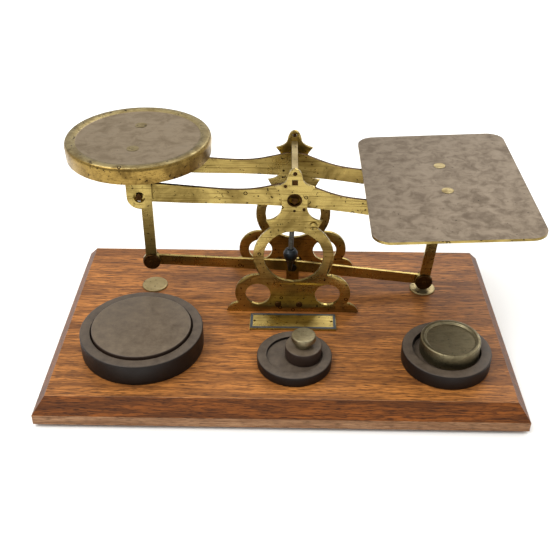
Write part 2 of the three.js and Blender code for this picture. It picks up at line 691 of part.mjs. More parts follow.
function buildSupports(frame) {
  const left = buildSupport(frame, 'left', -1, PAN_YOKE_HEIGHT, 0, 0, pan.wall, pan.rivetX);
  add(left, 'round_pan', roundPan(), dullBrass, pan.offset, 0, PAN_YOKE_HEIGHT + pan.wall);
  const { thickness } = letterPlate;
  const right = buildSupport(frame, 'right', 1, LETTER_YOKE_HEIGHT, LETTER_TILT, LETTER_FOOT, thickness, 0);
  add(right, 'letter_plate', flatLetterPlate(), dullBrass, letterPlate.x, letterPlate.y, LETTER_YOKE_HEIGHT);
}

// ---------------------------------------------------------------- the stay

/** The lower link: a bar with an eye on each leg pin and one on its centre pin. */
function stayBar() {
  const lean = new THREE.Vector3(LETTER_FOOT, 0, 0).applyAxisAngle(new THREE.Vector3(0, 1, 0), -REST_TILT);
  const eyes = [
    [-arm.length, -arm.drop, stay.endHole],
    [0, 0, stayPin.radius + RUN],
    [arm.length + lean.x, -arm.drop + lean.z, stay.endHole],
  ];
  const { front, thickness, half, crown, eye } = stay;
  const [leftX, leftZ] = eyes[0];
  const [rightX, rightZ] = eyes[2];
  const outline = polygon([
    [leftX, leftZ - half], [0, crown - half - 0.6], [rightX, rightZ - half],
    [rightX, rightZ + half], [0, crown + half], [leftX, leftZ + half],
  ]);
  const discs = eyes.map(([x, z]) => drillAcross(eye, front, front + thickness, x, z));
  const holes = eyes.map(([x, z, radius]) => drillAcross(radius, front - 1, front + thickness + 1, x, z));
  return cut(join([sheet(outline, thickness, front), ...discs]), holes);
}

function buildStay(frame) {
  const link = add(frame, 'stay_bar', stayBar(), brass, 0, 0, STAY_Z);
  link.rotation.y = REST_TILT;
}

// ---------------------------------------------------------------- the weights

function discWeight({ radius, height, edge }) {
  return turned([
    [0, 0], [radius - edge * 0.5, 0], [radius, edge * 0.5], [radius, height - edge],
    [radius - edge * 0.3, height - edge * 0.3], [radius - edge, height], [0, height],
  ]);
}

/** A disc weight with a dished top and a raised rim. */
function rimmedWeight({ radius, height, edge, rim, dish }) {
  return turned([
    [0, 0], [radius - edge, 0], [radius, edge], [radius, height - edge], [radius - edge, height],
    [radius - rim, height], [radius - rim - 0.6, height - dish], [0, height - dish],
  ]);
}

/** A button weight, narrower at its foot. */
function buttonWeight({ radius, height, waist: foot, waistTop }) {
  return turned([
    [0, 0], [foot, 0], [foot, waistTop], [radius - 0.4, waistTop + 0.3], [radius, waistTop + 0.8],
    [radius, height - 0.7], [radius - 0.7, height], [0, height],
  ], 28);
}

function buildWeights(scale) {
  const place = ({ x, y, z }) => [x, y, BOARD_TOP + z];
  add(scale, 'weight_4_oz', discWeight(weights.four), ebonite, ...place(weights.four));
  add(scale, 'weight_2_oz', rimmedWeight(weights.two), dullBrass, ...place(weights.two));
  add(scale, 'weight_half_oz', discWeight(weights.half), ebonite, ...place(weights.half));
  add(scale, 'weight_quarter_oz', buttonWeight(weights.quarter), dullBrass, ...place(weights.quarter));
}

// ---------------------------------------------------------------- the whole scale

const scale = new THREE.Group();
buildStand(scale);
const frame = new THREE.Group();
frame.position.set(works.x, works.y, BOARD_TOP);
scale.add(frame);
buildUprights(frame);
buildBeam(frame);
buildSupports(frame);
buildStay(frame);
buildWeights(scale);

export default scale;
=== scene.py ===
"""The looks of a vintage letter scale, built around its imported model.

Two fretted brass plates on an oak board carry a beam with a round pan and a flat letter plate. Sizes
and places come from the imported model's own pieces. Turned pieces, screws and rivets are made by Geometry
Nodes. The sheet-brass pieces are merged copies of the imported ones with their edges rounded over.
"""

from __future__ import annotations

import json
import logging
import math
from dataclasses import dataclass, field
from enum import Enum
from typing import Callable, Sequence

import bmesh
import bpy
from mathutils import Matrix, Vector


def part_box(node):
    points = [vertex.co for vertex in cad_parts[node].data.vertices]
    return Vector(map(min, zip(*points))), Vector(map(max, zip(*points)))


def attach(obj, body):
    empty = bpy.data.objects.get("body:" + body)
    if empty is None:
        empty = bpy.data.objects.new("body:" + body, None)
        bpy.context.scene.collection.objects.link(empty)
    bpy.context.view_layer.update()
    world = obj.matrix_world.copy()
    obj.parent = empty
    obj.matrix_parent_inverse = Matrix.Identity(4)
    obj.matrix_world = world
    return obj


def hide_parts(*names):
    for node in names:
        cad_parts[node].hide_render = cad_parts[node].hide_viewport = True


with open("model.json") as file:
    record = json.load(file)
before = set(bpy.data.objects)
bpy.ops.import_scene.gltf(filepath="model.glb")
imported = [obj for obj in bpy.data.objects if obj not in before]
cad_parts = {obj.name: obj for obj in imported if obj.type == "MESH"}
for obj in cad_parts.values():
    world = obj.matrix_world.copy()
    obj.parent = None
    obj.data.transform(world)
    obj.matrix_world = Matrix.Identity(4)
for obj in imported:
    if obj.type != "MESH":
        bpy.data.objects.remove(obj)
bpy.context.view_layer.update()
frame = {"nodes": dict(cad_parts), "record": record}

LOG = logging.getLogger("letter_scale")
MM = 0.001
MERGE = 0.002 * MM
FLAT = math.radians(0.6)
SMOOTH = math.radians(28)
LEVEL = 0.9  # how much of a normal points along an axis on a face that counts as square to it
EDGE_ON = 0.3  # the same for a face that counts as a plate's sawn edge

BODY_OF = {node: body for body, nodes in frame["record"]["behaviour"]["bodies"].items() for node in nodes}


# ------------------------------------------------------------------------ small tools


def linear(hex_colour: str) -> tuple[float, float, float, float]:
    """Turn an sRGB hex colour into linear RGBA.

    Args:
        hex_colour: Six hex digits with a leading hash.

    Returns:
        Linear red, green and blue, and an alpha of one.
    """
    channels = [int(hex_colour[i : i + 2], 16) / 255 for i in (1, 3, 5)]
    curve = [c / 12.92 if c <= 0.04045 else ((c + 0.055) / 1.055) ** 2.4 for c in channels]
    return (*curve, 1.0)


def add_node(
    tree: bpy.types.NodeTree, kind: str, inputs: dict | None = None, **settings: object
) -> bpy.types.Node:
    """Add a node with its settings, values and links.

    Args:
        tree: The tree that gets the node.
        kind: The node's type name.
        inputs: What goes into each input, by name or number: a value, or an output socket to link.
        **settings: The node's own properties.

    Returns:
        The new node.
    """
    node = tree.nodes.new(kind)
    for name, value in settings.items():
        setattr(node, name, value)
    for key, value in (inputs or {}).items():
        if isinstance(value, bpy.types.NodeSocket):
            tree.links.new(value, node.inputs[key])
        else:
            node.inputs[key].default_value = value
    return node


def grain(*sizes_mm: float) -> tuple[float, float, float]:
    """Turn the size of a pattern along x, y and z, in millimetres, into a Mapping node's scale."""
    return tuple(1 / (size * MM) for size in sizes_mm)


def centre_of(node: str) -> Vector:
    """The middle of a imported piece's box."""
    low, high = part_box(node)
    return (Vector(low) + Vector(high)) / 2


def link(name: str, mesh: bpy.types.Mesh) -> bpy.types.Object:
    """Put a mesh into the scene as a named object at the origin."""
    piece = bpy.data.objects.new(name, mesh)
    bpy.context.scene.collection.objects.link(piece)
    return piece


def settle(piece: bpy.types.Object, outward: bool = False, shade: bool = True) -> bpy.types.Object:
    """Turn a piece's live modifiers into plain mesh.

    Args:
        piece: The piece to settle.
        outward: Whether to turn all its faces outwards first.
        shade: Whether to shade it smooth between its corners.

    Returns:
        The same piece, with no modifiers.
    """
    graph = bpy.context.evaluated_depsgraph_get()
    mesh = bpy.data.meshes.new_from_object(piece.evaluated_get(graph))
    piece.modifiers.clear()
    piece.data = mesh
    if outward:
        work = bmesh.new()
        work.from_mesh(mesh)
        bmesh.ops.remove_doubles(work, verts=work.verts, dist=MERGE)
        bmesh.ops.recalc_face_normals(work, faces=work.faces)
        work.to_mesh(mesh)
        work.free()
    if shade:
        mesh.shade_smooth()
        mesh.set_sharp_from_angle(angle=SMOOTH)
    mesh.name = piece.name
    return piece


def stand_for(piece: bpy.types.Object, *nodes: str) -> bpy.types.Object:
    """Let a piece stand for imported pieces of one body, and move with that body.

    Args:
        piece: The finished piece.
        *nodes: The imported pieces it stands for.

    Returns:
        The same piece.
    """
    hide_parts(*nodes)
    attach(piece, BODY_OF[nodes[0]])
    LOG.info("%s: %d faces, for %s", piece.name, len(piece.data.polygons), ", ".join(nodes))
    return piece


# ------------------------------------------------------------------------ finishes


@dataclass(frozen=True)
class Finish:
    """What a surface is made of and how it was worked."""

    name: str

    def material(self) -> bpy.types.Material:
        """Build the material once, and hand back the same one after that."""
        made = bpy.data.materials.get(self.name)
        if made:
            return made
        made = bpy.data.materials.new(self.name)
        made.use_nodes = True
        tree = made.node_tree
        tree.nodes.clear()
        place = add_node(tree, "ShaderNodeTexCoord").outputs["Object"]
        shader = self.shader(tree, place)
        add_node(tree, "ShaderNodeOutputMaterial", {"Surface": shader.outputs[0]})
        return made

    def shader(self, tree: bpy.types.NodeTree, place: bpy.types.NodeSocket) -> bpy.types.Node:
        """Build the nodes of the finish.

        Args:
            tree: The material's tree.
            place: Where a point of the surface is, in metres.

        Returns:
            The node whose first output is the surface.
        """
        raise NotImplementedError


@dataclass(frozen=True)
class AgedBrass(Finish):
    """Sheet brass, once polished: yellow metal clouded brown in places, with black specks and scratches."""

    clean: str = "#b09a5a"
    cloud: str = "#68552a"
    speck: str = "#2b1d10"
    clouding: float = 0.8
    specks: float = 0.64
    scoring: float = 0.8
    stain_free: float = 0.72
    gloss: float = 0.22
    cloud_mm: float = 20.0
    speck_mm: float = 1.8
    stain_mm: float = 6.0
    scratch_mm: tuple[float, float, float] = (24.0, 0.5, 0.5)

    def shader(self, tree: bpy.types.NodeTree, place: bpy.types.NodeSocket) -> bpy.types.Node:
        """Mix the clean metal, the clouds and the specks."""
        clouds = add_node(
            tree,
            "ShaderNodeTexNoise",
            {
                "Vector": place,
                "Scale": 1 / (self.cloud_mm * MM),
                "Detail": 6.0,
                "Roughness": 0.62,
                "Distortion": 0.6,
            },
        )
        clouded = add_node(
            tree,
            "ShaderNodeMapRange",
            {0: clouds.outputs[0], 1: 0.42, 2: 0.68, 3: 0.0, 4: self.clouding},
            interpolation_type="SMOOTHSTEP",
        )
        dots = add_node(
            tree, "ShaderNodeTexNoise", {"Vector": place, "Scale": 1 / (self.speck_mm * MM), "Detail": 2.0}
        )
        speckled = add_node(
            tree,
            "ShaderNodeMapRange",
            {0: dots.outputs[0], 1: self.specks, 2: self.specks + 0.05, 3: 0.0, 4: 0.85},
        )
        along = add_node(tree, "ShaderNodeMapping", {"Vector": place, "Scale": grain(*self.scratch_mm)})
        scratches = add_node(
            tree,
            "ShaderNodeTexNoise",
            {"Vector": along.outputs[0], "Scale": 1.0, "Detail": 3.0, "Roughness": 0.7},
        )
        scored = add_node(
            tree, "ShaderNodeMapRange", {0: scratches.outputs[0], 1: 0.54, 2: 0.62, 3: 0.0, 4: self.scoring}
        )
        cells = add_node(tree, "ShaderNodeTexVoronoi", {"Vector": place, "Scale": 1 / (self.stain_mm * MM)})
        ring = add_node(
            tree, "ShaderNodeMath", {0: cells.outputs["Distance"], 1: 0.14, 2: 0.035}, operation="COMPARE"
        )
        lot = add_node(tree, "ShaderNodeSeparateXYZ", {0: cells.outputs["Color"]})
        few = add_node(
            tree, "ShaderNodeMath", {0: lot.outputs[0], 1: self.stain_free}, operation="GREATER_THAN"
        )
        stains = add_node(
            tree, "ShaderNodeMath", {0: ring.outputs[0], 1: few.outputs[0]}, operation="MULTIPLY"
        )
        marks = add_node(
            tree, "ShaderNodeMath", {0: speckled.outputs[0], 1: stains.outputs[0]}, operation="MAXIMUM"
        )
        ground = add_node(
            tree,
            "ShaderNodeMix",
            {0: clouded.outputs[0], 6: linear(self.clean), 7: linear(self.cloud)},
            data_type="RGBA",
        )
        worn = add_node(
            tree,
            "ShaderNodeMix",
            {0: scored.outputs[0], 6: ground.outputs[2], 7: linear(self.cloud)},
            data_type="RGBA",
        )
        colour = add_node(
            tree,
            "ShaderNodeMix",
            {0: marks.outputs[0], 6: worn.outputs[2], 7: linear(self.speck)},
            data_type="RGBA",
        )
        rough = add_node(
            tree,
            "ShaderNodeMapRange",
            {0: clouds.outputs[0], 1: 0.3, 2: 0.7, 3: self.gloss, 4: self.gloss + 0.2},
        )
        dents = add_node(
            tree, "ShaderNodeMath", {0: scratches.outputs[0], 1: dots.outputs[0]}, operation="ADD"
        )
        relief = add_node(
            tree, "ShaderNodeBump", {"Height": dents.outputs[0], "Strength": 0.25, "Distance": 0.08 * MM}
        )
        return add_node(
            tree,
            "ShaderNodeBsdfPrincipled",
            {
                "Base Color": colour.outputs[2],
                "Metallic": 1.0,
                "Roughness": rough.outputs[0],
                "Normal": relief.outputs[0],
            },
        )


@dataclass(frozen=True)
class VarnishedOak(Finish):
    """Sawn oak, stained and varnished: long grain, dark open pores and a worn satin coat."""

    light: str = "#bd7a3a"
    mid: str = "#6a3f1c"
    dark: str = "#3a2010"
    figure_mm: tuple[float, float, float] = (90.0, 7.0, 7.0)
    fibre_mm: tuple[float, float, float] = (16.0, 0.9, 0.9)
    pore_mm: tuple[float, float, float] = (5.0, 0.42, 0.42)

    def shader(self, tree: bpy.types.NodeTree, place: bpy.types.NodeSocket) -> bpy.types.Node:
        """Lay broad figure, fibres and pores over one another."""
        layers = []
        patterns = ((self.figure_mm, 4.0, 1.2), (self.fibre_mm, 5.0, 0.4), (self.pore_mm, 2.0, 0.0))
        for sizes, detail, twist in patterns:
            along = add_node(tree, "ShaderNodeMapping", {"Vector": place, "Scale": grain(*sizes)})
            layers.append(
                add_node(
                    tree,
                    "ShaderNodeTexNoise",
                    {
                        "Vector": along.outputs[0],
                        "Scale": 1.0,
                        "Detail": detail,
                        "Roughness": 0.6,
                        "Distortion": twist,
                    },
                ).outputs[0]
            )
        figure, fibre, pore = layers
        broad = add_node(tree, "ShaderNodeMapRange", {0: figure, 1: 0.4, 2: 0.6, 3: 0.0, 4: 0.8})
        fine = add_node(tree, "ShaderNodeMapRange", {0: fibre, 1: 0.42, 2: 0.58, 3: 0.0, 4: 1.0})
        open_pores = add_node(tree, "ShaderNodeMapRange", {0: pore, 1: 0.5, 2: 0.64, 3: 0.0, 4: 0.8})
        ground = add_node(
            tree,
            "ShaderNodeMix",
            {0: broad.outputs[0], 6: linear(self.light), 7: linear(self.mid)},
            data_type="RGBA",
        )
        shade = add_node(tree, "ShaderNodeMath", {0: fine.outputs[0], 1: 0.75}, operation="MULTIPLY")
        fibrous = add_node(
            tree,
            "ShaderNodeMix",
            {0: shade.outputs[0], 6: ground.outputs[2], 7: linear(self.mid)},
            data_type="RGBA",
        )
        colour = add_node(
            tree,
            "ShaderNodeMix",
            {0: open_pores.outputs[0], 6: fibrous.outputs[2], 7: linear(self.dark)},
            data_type="RGBA",
        )
        relief = add_node(tree, "ShaderNodeBump", {"Height": pore, "Strength": 0.4, "Distance": -0.15 * MM})
        return add_node(
            tree,
            "ShaderNodeBsdfPrincipled",
            {
                "Base Color": colour.outputs[2],
                "Roughness": 0.5,
                "Specular IOR Level": 0.22,
                "Normal": relief.outputs[0],
            },
        )


@dataclass(frozen=True)
class PressedFelt(Finish):
    """Pressed wool felt: matt, painted nearly black as the shadow in the gap under the board."""

    # Near-black: a painted shadow under the board.
    colour: str = "#1d1a16"

    def shader(self, tree: bpy.types.NodeTree, place: bpy.types.NodeSocket) -> bpy.types.Node:
        """A matt surface with the faint lumps of matted wool."""
        wool = add_node(tree, "ShaderNodeTexNoise", {"Vector": place, "Scale": 1 / (0.8 * MM), "Detail": 3.0})
        relief = add_node(
            tree, "ShaderNodeBump", {"Height": wool.outputs[0], "Strength": 0.6, "Distance": 0.2 * MM}
        )
        return add_node(
            tree,
            "ShaderNodeBsdfPrincipled",
            {"Base Color": linear(self.colour), "Roughness": 0.95, "Normal": relief.outputs[0]},
        )


@dataclass(frozen=True)
class SatinSkin(Finish):
    """A near-black coat with a satin skin, with a grey-brown painted highlight on whatever faces up."""

    ground: str = "#120a06"
    # The painted highlight: a grey-brown sheen on upward faces, standing in for the sky's reflection.
    sheen_colour: str = "#6f6152"
    sheen_amount: float = 0.62
    gloss: float = 0.4
    mottle_mm: float = 5.0

    def shader(self, tree: bpy.types.NodeTree, place: bpy.types.NodeSocket) -> bpy.types.Node:
        """Lay the painted highlight over the coat where the surface faces up."""
        mottle = add_node(
            tree,
            "ShaderNodeTexNoise",
            {"Vector": place, "Scale": 1 / (self.mottle_mm * MM), "Detail": 6.0, "Roughness": 0.7},
        )
        # Painted highlight: the more a face points up, the more sheen colour it gets, patchy with the mottle.
        facing = add_node(tree, "ShaderNodeNewGeometry").outputs["Normal"]
        upward = add_node(tree, "ShaderNodeSeparateXYZ", {0: facing})
        level = add_node(tree, "ShaderNodeMapRange", {0: upward.outputs["Z"], 1: 0.5, 2: 1.0, 3: 0.0, 4: 1.0})
        patchy = add_node(
            tree,
            "ShaderNodeMapRange",
            {0: mottle.outputs[0], 1: 0.3, 2: 0.7, 3: self.sheen_amount * 0.45, 4: self.sheen_amount},
        )
        painted_sheen = add_node(
            tree, "ShaderNodeMath", {0: level.outputs[0], 1: patchy.outputs[0]}, operation="MULTIPLY"
        )
        colour = add_node(
            tree,
            "ShaderNodeMix",
            {0: painted_sheen.outputs[0], 6: linear(self.ground), 7: linear(self.sheen_colour)},
            data_type="RGBA",
        )
        rough = add_node(
            tree,
            "ShaderNodeMapRange",
            {0: mottle.outputs[0], 1: 0.3, 2: 0.7, 3: self.gloss, 4: self.gloss + 0.2},
        )
        return add_node(
            tree,
            "ShaderNodeBsdfPrincipled",
            {"Base Color": colour.outputs[2], "Roughness": rough.outputs[0], "Specular IOR Level": 0.28},
        )


@dataclass(frozen=True)
class PlainCoat(Finish):
    """An even coat of one colour, such as white paper or black enamel."""

    colour: str = "#f6f6f4"
    roughness: float = 0.9

    def shader(self, tree: bpy.types.NodeTree, place: bpy.types.NodeSocket) -> bpy.types.Node:
        """The colour alone."""
        return add_node(
            tree, "ShaderNodeBsdfPrincipled", {"Base Color": linear(self.colour), "Roughness": self.roughness}
        )


class Finishes(Enum):
    """The finishes of the whole scale."""

    OAK = VarnishedOak("varnished oak")
    # The moulded edge, painted a deeper brown than the top: painted shade, for sloping faces that get less
    # light.
    OAK_EDGE_SHADE = VarnishedOak("varnished oak edge in painted shade", light="#884c1b", mid="#4c280d", dark="#281306")
    # The arris and the foot of the board, painted a pale pinkish oak: a painted highlight along the top edge,
    # and a paler band at the foot.
    OAK_PALE_HIGHLIGHT = VarnishedOak("pale oak with painted highlight", light="#a9805c", mid="#7e5636", dark="#4c301c")
    # The felt under the board, painted nearly black as shadow.
    FELT_PAINTED_SHADOW = PressedFelt("felt painted as shadow")
    # Once-polished cast and sheet brass: a soft yellow shine with brown clouds.
    BRASS = AgedBrass("aged sheet brass")
    # The pan's rim, rubbed by fingers: yellower and brighter than its face.
    RUBBED = AgedBrass(
        "rubbed brass", clean="#9c8044", cloud="#5f4a24", clouding=0.8, gloss=0.24, cloud_mm=9.0,
        stain_free=0.9,
    )
    # Unlacquered brass where letters and weights slide: a warm grey-brown with soft pale smears.
    DULLED = AgedBrass(
        "dulled brass", clean="#857660", cloud="#6a5c48", speck="#554a3a", clouding=0.8, specks=0.7,
        gloss=0.4, cloud_mm=9.0, speck_mm=2.0, scratch_mm=(9.0, 2.0, 2.0), scoring=0.35, stain_free=2.0,
    )
    # The letter plate, duller again: an even brown-grey with faint smears.
    HANDLED = AgedBrass(
        "handled brass", clean="#6b5f50", cloud="#564a3d", speck="#40372c", clouding=0.65, specks=0.7,
        gloss=0.42, cloud_mm=6.0, speck_mm=2.0, scratch_mm=(9.0, 2.0, 2.0), scoring=0.3, stain_free=2.0,
    )
    # The pan's rim, between its dull face and its bright skirt.
    TARNISHED = AgedBrass(
        "tarnished brass", clean="#8f8058", cloud="#675734", clouding=0.9, gloss=0.3, cloud_mm=7.0,
        stain_free=0.9,
    )
    # Handled brass weights: olive, between the bright and the dull brass.
    OLIVE = AgedBrass(
        "olive weight brass", clean="#8a8064", cloud="#665c44", speck="#30281c", clouding=0.7, specks=0.68,
        gloss=0.3, cloud_mm=6.0, speck_mm=1.2, scratch_mm=(5.0, 0.6, 0.6), stain_free=2.0,
    )
    # Brass gone brown in drilled ends and old rivets: dark, with little shine left.
    BROWNED = AgedBrass(
        "browned brass", clean="#4a3218", cloud="#2e1d0c", speck="#150c06", clouding=0.7, gloss=0.45,
        cloud_mm=6.0, stain_free=2.0,
    )
    # Moulded composition: near-black brown, with a painted highlight on top, and a satin skin that picks up
    # the sky.
    COMPOSITION = SatinSkin("moulded composition")
    # Japanned brass: a smoother, browner black coat, with a stronger painted highlight on top of the weights.
    JAPANNED = SatinSkin("japanned brass", ground="#2a1d15", sheen_colour="#776956", sheen_amount=0.7, gloss=0.34)
    # Oiled tool steel: blue-black.
    STEEL = AgedBrass(
        "oiled steel", clean="#3c4044", cloud="#232528", speck="#15120f", clouding=0.7, specks=0.68,
        gloss=0.3, cloud_mm=6.0, speck_mm=1.2, scratch_mm=(4.0, 0.5, 0.5), stain_free=2.0,
    )
    # Bright steel gone grey, without oil.
    GREY_STEEL = AgedBrass(
        "grey steel", clean="#767c7a", cloud="#4b4f4e", speck="#26221d", clouding=0.8, gloss=0.32,
        cloud_mm=6.0, scratch_mm=(4.0, 0.5, 0.5), stain_free=2.0,
    )
    # Bare brass ends and bars that are wiped clean: pale and bright.
    PALE = AgedBrass(
        "pale wiped brass", clean="#a0906a", cloud="#7a6a46", clouding=0.6, gloss=0.42, stain_free=2.0
    )
    ENAMEL = PlainCoat("slate enamel", colour="#2c3338", roughness=0.35)
    PAPER = PlainCoat("studio paper")

    @property
    def material(self) -> bpy.types.Material:
        """The finish's material."""
        return self.value.material()


# ------------------------------------------------------------------------ ways of making


def rounded_copy(
    node: str, edge_mm: float, finish: Finishes, steps: int = 2, merge_flats: bool = True
) -> bpy.types.Object:
    """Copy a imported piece, merge its loose triangles into clean faces and round its edges over.

    Args:
        node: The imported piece.
        edge_mm: How far the rounding reaches from each edge.
        finish: What the piece is dressed in.
        steps: How many faces the rounding has.
        merge_flats: Whether to merge its flat triangles; a plate with many windows keeps its triangles.

    Returns:
        The finished piece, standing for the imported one.
    """
    mesh = frame["nodes"][node].data.copy()
    work = bmesh.new()
    work.from_mesh(mesh)
    bmesh.ops.remove_doubles(work, verts=work.verts, dist=MERGE)
    if merge_flats:
        bmesh.ops.dissolve_limit(work, angle_limit=FLAT, verts=work.verts, edges=work.edges)
    work.to_mesh(mesh)
    work.free()
    mesh.shade_smooth()
    mesh.set_sharp_from_angle(angle=SMOOTH)
    mesh.materials.clear()
    mesh.materials.append(finish.material)
    piece = link(f"{node}_worn", mesh)
    if edge_mm:
        rounding = piece.modifiers.new("rounded edges", "BEVEL")
        rounding.width = edge_mm * MM
        rounding.segments = steps
        rounding.limit_method = "ANGLE"
        rounding.angle_limit = SMOOTH
        rounding.use_clamp_overlap = True
        rounding.harden_normals = True
    return stand_for(settle(piece, shade=False), node)


def turning_tree() -> bpy.types.NodeTree:
    """A node tree that turns a profile, a row of points in x and z, about the z axis."""
    made = bpy.data.node_groups.get("turned work")
    if made:
        return made
    tree = bpy.data.node_groups.new("turned work", "GeometryNodeTree")
    tree.interface.new_socket("Geometry", in_out="INPUT", socket_type="NodeSocketGeometry")
    tree.interface.new_socket("Facets", in_out="INPUT", socket_type="NodeSocketInt")
    tree.interface.new_socket("Material", in_out="INPUT", socket_type="NodeSocketMaterial")
    tree.interface.new_socket("Geometry", in_out="OUTPUT", socket_type="NodeSocketGeometry")
    given = add_node(tree, "NodeGroupInput").outputs
    measured = add_node(tree, "GeometryNodeAttributeDomainSize", {"Geometry": given["Geometry"]})
    count = measured.outputs["Point Count"]
    columns = add_node(tree, "ShaderNodeMath", {0: given["Facets"], 1: 1.0}, operation="ADD")
    grid = add_node(tree, "GeometryNodeMeshGrid", {"Vertices X": columns.outputs[0], "Vertices Y": count})
    index = add_node(tree, "GeometryNodeInputIndex").outputs[0]
    row = add_node(tree, "ShaderNodeMath", {0: index, 1: count}, operation="MODULO")
    ratio = add_node(tree, "ShaderNodeMath", {0: index, 1: count}, operation="DIVIDE")
    column = add_node(tree, "ShaderNodeMath", {0: ratio.outputs[0]}, operation="FLOOR")
    part = add_node(tree, "ShaderNodeMath", {0: column.outputs[0], 1: given["Facets"]}, operation="DIVIDE")
    angle = add_node(tree, "ShaderNodeMath", {0: part.outputs[0], 1: 2 * math.pi}, operation="MULTIPLY")
    spot = add_node(
        tree,
        "GeometryNodeSampleIndex",
        {"Geometry": given["Geometry"], "Index": row.outputs[0]},
        data_type="FLOAT_VECTOR",
    )
    tree.links.new(add_node(tree, "GeometryNodeInputPosition").outputs[0], spot.inputs["Value"])
    axes = add_node(tree, "ShaderNodeSeparateXYZ", {0: spot.outputs[0]})
    round_about = {}
    for name, operation in (("X", "COSINE"), ("Y", "SINE")):
        turn = add_node(tree, "ShaderNodeMath", {0: angle.outputs[0]}, operation=operation)
        reach = add_node(
            tree, "ShaderNodeMath", {0: axes.outputs["X"], 1: turn.outputs[0]}, operation="MULTIPLY"
        )
        round_about[name] = reach.outputs[0]
    target = add_node(tree, "ShaderNodeCombineXYZ", {**round_about, "Z": axes.outputs["Z"]})
    moved = add_node(
        tree, "GeometryNodeSetPosition", {"Geometry": grid.outputs["Mesh"], "Position": target.outputs[0]}
    )
    merged = add_node(tree, "GeometryNodeMergeByDistance", {"Geometry": moved.outputs[0], "Distance": MERGE})
    dressed = add_node(
        tree, "GeometryNodeSetMaterial", {"Geometry": merged.outputs[0], "Material": given["Material"]}
    )
    add_node(tree, "NodeGroupOutput", {"Geometry": dressed.outputs[0]})
    return tree


def run_tree(
    piece: bpy.types.Object, tree: bpy.types.NodeTree, inputs: dict[str, object]
) -> bpy.types.Object:
    """Run a node tree on a piece and keep the result as its mesh.

    Args:
        piece: The object whose mesh goes in.
        tree: The node tree.
        inputs: A value for each named input.

    Returns:
        The same piece, with faces outwards and no modifier.
    """
    modifier = piece.modifiers.new(tree.name, "NODES")
    modifier.node_group = tree
    for socket in tree.interface.items_tree:
        if socket.in_out == "INPUT" and socket.name in inputs:
            modifier[socket.identifier] = inputs[socket.name]
    return settle(piece, outward=True)


def softened(corners: Sequence[tuple[float, float, float]], steps: int = 5) -> list[tuple[float, float]]:
    """Round the corners of an open outline.

    Args:
        corners: Each corner as radius, height and how far its rounding reaches, in millimetres.
        steps: How many lines make up each rounding.

    Returns:
        The outline's points.
    """
    points = [Vector(corner[:2]) for corner in corners]
    outline = [points[0]]
    for before, here, after, corner in zip(points, points[1:], points[2:], corners[1:]):
        reach = min(corner[2], (before - here).length / 2, (after - here).length / 2)
        if reach <= 0:
            outline.append(here)
            continue
        start = here + (before - here).normalized() * reach
        end = here + (after - here).normalized() * reach
        for step in range(steps + 1):
            t = step / steps
            outline.append(start * (1 - t) ** 2 + here * 2 * t * (1 - t) + end * t**2)
    outline.append(points[-1])
    return [tuple(point) for point in outline]


def turned(
    node: str,
    corners: Sequence[tuple[float, float, float]],
    finish: Finishes,
    facets: int = 96,
) -> bpy.types.Object:
    """Turn a piece on the lathe in place of a packed one.

    Args:
        node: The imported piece, which gives the place: its middle, and its underside as height zero.
        corners: The profile from the axis round to the axis, as softened() takes it.
        finish: What the piece is dressed in.
        facets: How many faces go round it.

    Returns:
        The finished piece.
    """
    low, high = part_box(node)
    outline = softened(corners)
    mesh = bpy.data.meshes.new(node)
    rows = [(radius * MM, 0.0, height * MM) for radius, height in outline]
    mesh.from_pydata(rows, [(i, i + 1) for i in range(len(rows) - 1)], [])
    piece = link(f"{node}_turned", mesh)
    run_tree(piece, turning_tree(), {"Facets": facets, "Material": finish.material})
    middle = centre_of(node)
    piece.data.transform(Matrix.Translation((middle.x, middle.y, low[2])))
    return stand_for(piece, node)


class Head(Enum):
    """The kinds of head that a fastener can have."""

    COUNTERSUNK = "countersunk"
    FLUSH = "flush"
    DOMED = "domed"


